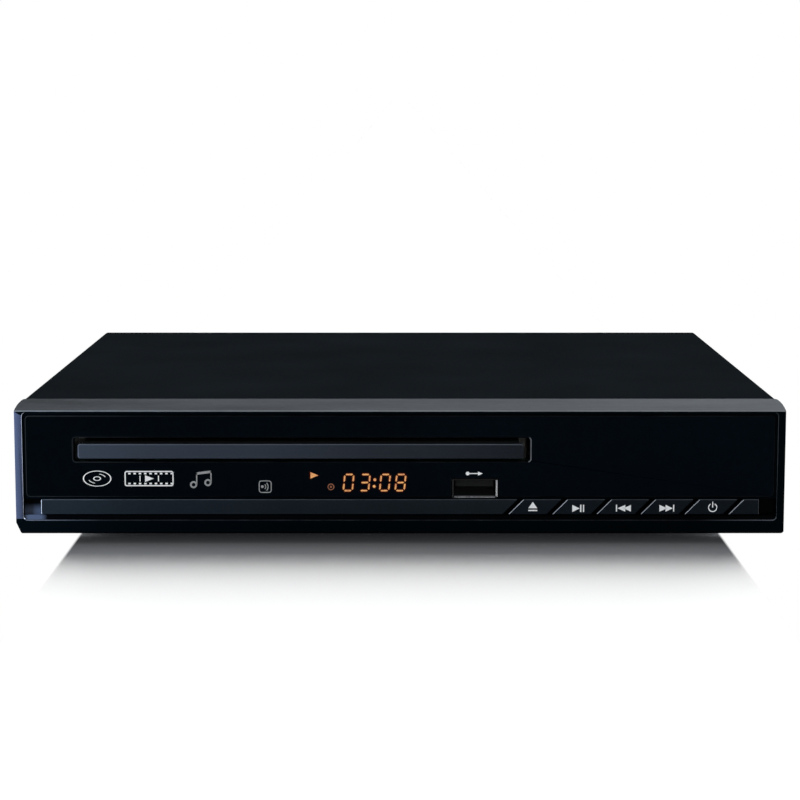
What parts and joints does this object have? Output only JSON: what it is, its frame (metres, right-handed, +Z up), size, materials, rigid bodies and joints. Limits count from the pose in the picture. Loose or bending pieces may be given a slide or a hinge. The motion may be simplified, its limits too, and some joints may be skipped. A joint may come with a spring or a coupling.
{
  "type": "disc player with tray",
  "caption": "Compact tabletop disc player with a motorised sliding tray, lifting turntable, sled pickup, front buttons, display, media socket and rear sockets",
  "frame": {"origin": "middle of the footprint, on the ground under the feet", "axes": "+X to the right seen from the front, +Y to the back, +Z up"},
  "size_m": [0.225, 0.209, 0.0414],
  "materials": {
    "cover_paint": "fine satin black powder coat",
    "pan_steel": "galvanised sheet, dull",
    "panel_paint": "satin black paint on sheet steel",
    "bezel_plastic": "moulded satin gloss black plastic",
    "fascia_gloss": "high gloss black acrylic with printed marks",
    "button_plastic": "satin black plastic with white symbols",
    "trim_plastic": "satin black plastic",
    "door_plastic": "matte grey blue black plastic",
    "tray_plastic": "fine textured dark plastic",
    "foot_rubber": "soft black rubber",
    "dark_screw": "black zinc",
    "bright_screw": "bright zinc",
    "loader_plastic": "natural grey moulded plastic",
    "steel": "bright pressed steel",
    "puck_plastic": "white acetal",
    "magnet": "dark sintered magnet",
    "frame_plastic": "black glass filled plastic",
    "soft_rubber": "soft damper rubber",
    "motor_steel": "plated motor can",
    "table_plastic": "dark turned plastic",
    "rod_chrome": "ground and plated rod",
    "sled_metal": "die-cast zinc",
    "lens_plastic": "black lens holder",
    "gear_plastic": "natural acetal",
    "board_green": "green solder mask",
    "board_brown": "paper phenolic board",
    "chip_black": "moulded chip packages",
    "connector_white": "ivory nylon",
    "capacitor_sleeve": "dark blue shrink sleeve",
    "transformer_core": "ferrite core with yellow tape",
    "heat_sink": "extruded aluminium",
    "display_face": "dark face with amber segments",
    "ir_lens": "dark red filter",
    "switch_metal": "plated switch cover",
    "socket_steel": "bright tinned steel",
    "socket_black": "black moulding",
    "barrel_plate": "bright plated brass",
    "insert_colours": "coloured insulators",
    "wire_brown": "insulated wire",
    "ribbon_white": "flat cable"
  },
  "bodies": {
    "casing": {"top_cover": "cover_paint", "base_pan": "pan_steel", "rear_panel": "panel_paint", "front_bezel": "bezel_plastic", "fascia_window": "fascia_gloss", "button_trim": "trim_plastic", "feet": "foot_rubber", "cover_screws": "dark_screw", "panel_screws": "bright_screw", "loader_frame": "loader_plastic", "loader_screws": "bright_screw", "clamp_bridge": "steel", "loading_motor": "motor_steel", "drive_belt": "soft_rubber", "main_board": "board_green", "main_board_chips": "chip_black", "board_connectors": "connector_white", "board_capacitors": "capacitor_sleeve", "power_board": "board_brown", "transformer": "transformer_core", "heat_sink": "heat_sink", "board_screws": "bright_screw", "front_board": "board_green", "led_display": "display_face", "ir_receiver": "ir_lens", "tact_switches": "switch_metal", "usb_board": "board_green", "usb_socket": "socket_steel", "hdmi_socket": "socket_steel", "jack_block": "socket_black", "jack_barrels": "barrel_plate", "jack_inserts": "insert_colours", "mains_inlet": "socket_black", "inlet_pins": "socket_steel", "mains_wires": "wire_brown", "front_ribbon": "ribbon_white"},
    "tray": {"disc_tray": "tray_plastic", "tray_door": "door_plastic"},
    "drive_gear": {"drive_gear": "gear_plastic"},
    "pulley_gear": {"pulley_gear": "gear_plastic"},
    "motor_pulley": {"motor_pulley": "gear_plastic"},
    "clamp": {"clamp_puck": "puck_plastic", "clamp_magnet": "magnet"},
    "lift": {"lift_frame": "frame_plastic", "traverse_plate": "steel", "dampers": "soft_rubber", "spindle_motor": "motor_steel", "guide_rods": "rod_chrome", "sled_motor": "motor_steel"},
    "turntable": {"turntable": "table_plastic", "turntable_mat": "soft_rubber"},
    "sled": {"pickup_sled": "sled_metal"},
    "lens": {"pickup_lens": "lens_plastic"},
    "lead_screw": {"lead_screw": "rod_chrome"},
    "cam_slider": {"cam_slider": "gear_plastic"},
    "eject_button": {"eject_button": "button_plastic"},
    "play_pause_button": {"play_pause_button": "button_plastic"},
    "previous_button": {"previous_button": "button_plastic"},
    "next_button": {"next_button": "button_plastic"},
    "power_button": {"power_button": "button_plastic"}
  },
  "joints": [
    {"name": "tray_slide", "type": "slide", "parent": "casing", "child": "tray", "axis": [0, -1, 0], "range_m": [0, 0.13]},
    {"name": "drive_gear_turn", "type": "hinge", "parent": "casing", "child": "drive_gear", "pos_m": [-0.075, -0.079, 0.018], "axis": [0, 0, 1], "range_deg": [0, 765]},
    {"name": "pulley_gear_turn", "type": "hinge", "parent": "casing", "child": "pulley_gear", "pos_m": [-0.05925, -0.079, 0.018], "axis": [0, 0, 1], "range_deg": [-1530, 0]},
    {"name": "motor_pulley_turn", "type": "hinge", "parent": "casing", "child": "motor_pulley", "pos_m": [-0.01125, -0.079, 0.018], "axis": [0, 0, 1], "range_deg": [-4118, 0]},
    {"name": "clamp_spin", "type": "hinge", "parent": "casing", "child": "clamp", "pos_m": [-0.029, -0.03, 0.0333], "axis": [0, 0, 1], "continuous": true},
    {"name": "lift_swing", "type": "hinge", "parent": "casing", "child": "lift", "pos_m": [-0.029, 0.062, 0.021], "axis": [-1, 0, 0], "range_deg": [0, 4.11]},
    {"name": "cam_slide", "type": "slide", "parent": "casing", "child": "cam_slider", "axis": [1, 0, 0], "range_m": [0, 0.02]},
    {"name": "turntable_spin", "type": "hinge", "parent": "lift", "child": "turntable", "pos_m": [-0.029, -0.0304, 0.02328], "axis": [0, -0.0717, 0.9974], "continuous": true},
    {"name": "sled_slide", "type": "slide", "parent": "lift", "child": "sled", "axis": [0, 0.9974, 0.0717], "range_m": [0, 0.034]},
    {"name": "lead_screw_turn", "type": "hinge", "parent": "lift", "child": "lead_screw", "pos_m": [0.002, -0.02963, 0.01251], "axis": [0, 0.9974, 0.0717], "range_deg": [0, 4180]},
    {"name": "lens_focus", "type": "slide", "parent": "sled", "child": "lens", "axis": [0, -0.0717, 0.9974], "range_m": [-0.0005, 0.0005], "stiffness_N_per_m": 60},
    {"name": "eject_press", "type": "slide", "parent": "casing", "child": "eject_button", "axis": [0, 1, 0], "range_m": [0, 0.0005], "stiffness_N_per_m": 400},
    {"name": "play_pause_press", "type": "slide", "parent": "casing", "child": "play_pause_button", "axis": [0, 1, 0], "range_m": [0, 0.0005], "stiffness_N_per_m": 400},
    {"name": "previous_press", "type": "slide", "parent": "casing", "child": "previous_button", "axis": [0, 1, 0], "range_m": [0, 0.0005], "stiffness_N_per_m": 400},
    {"name": "next_press", "type": "slide", "parent": "casing", "child": "next_button", "axis": [0, 1, 0], "range_m": [0, 0.0005], "stiffness_N_per_m": 400},
    {"name": "power_press", "type": "slide", "parent": "casing", "child": "power_button", "axis": [0, 1, 0], "range_m": [0, 0.0005], "stiffness_N_per_m": 400}
  ],
  "couplings": [
    {"joint": "drive_gear_turn", "follows": "tray_slide", "rad_per_m": 100},
    {"joint": "pulley_gear_turn", "follows": "tray_slide", "rad_per_m": -200},
    {"joint": "motor_pulley_turn", "follows": "tray_slide", "rad_per_m": -539.39},
    {"joint": "cam_slide", "follows": "lift_swing", "m_per_rad": 0.27855},
    {"joint": "lead_screw_turn", "follows": "sled_slide", "rad_per_m": 2094.4}
  ]
}
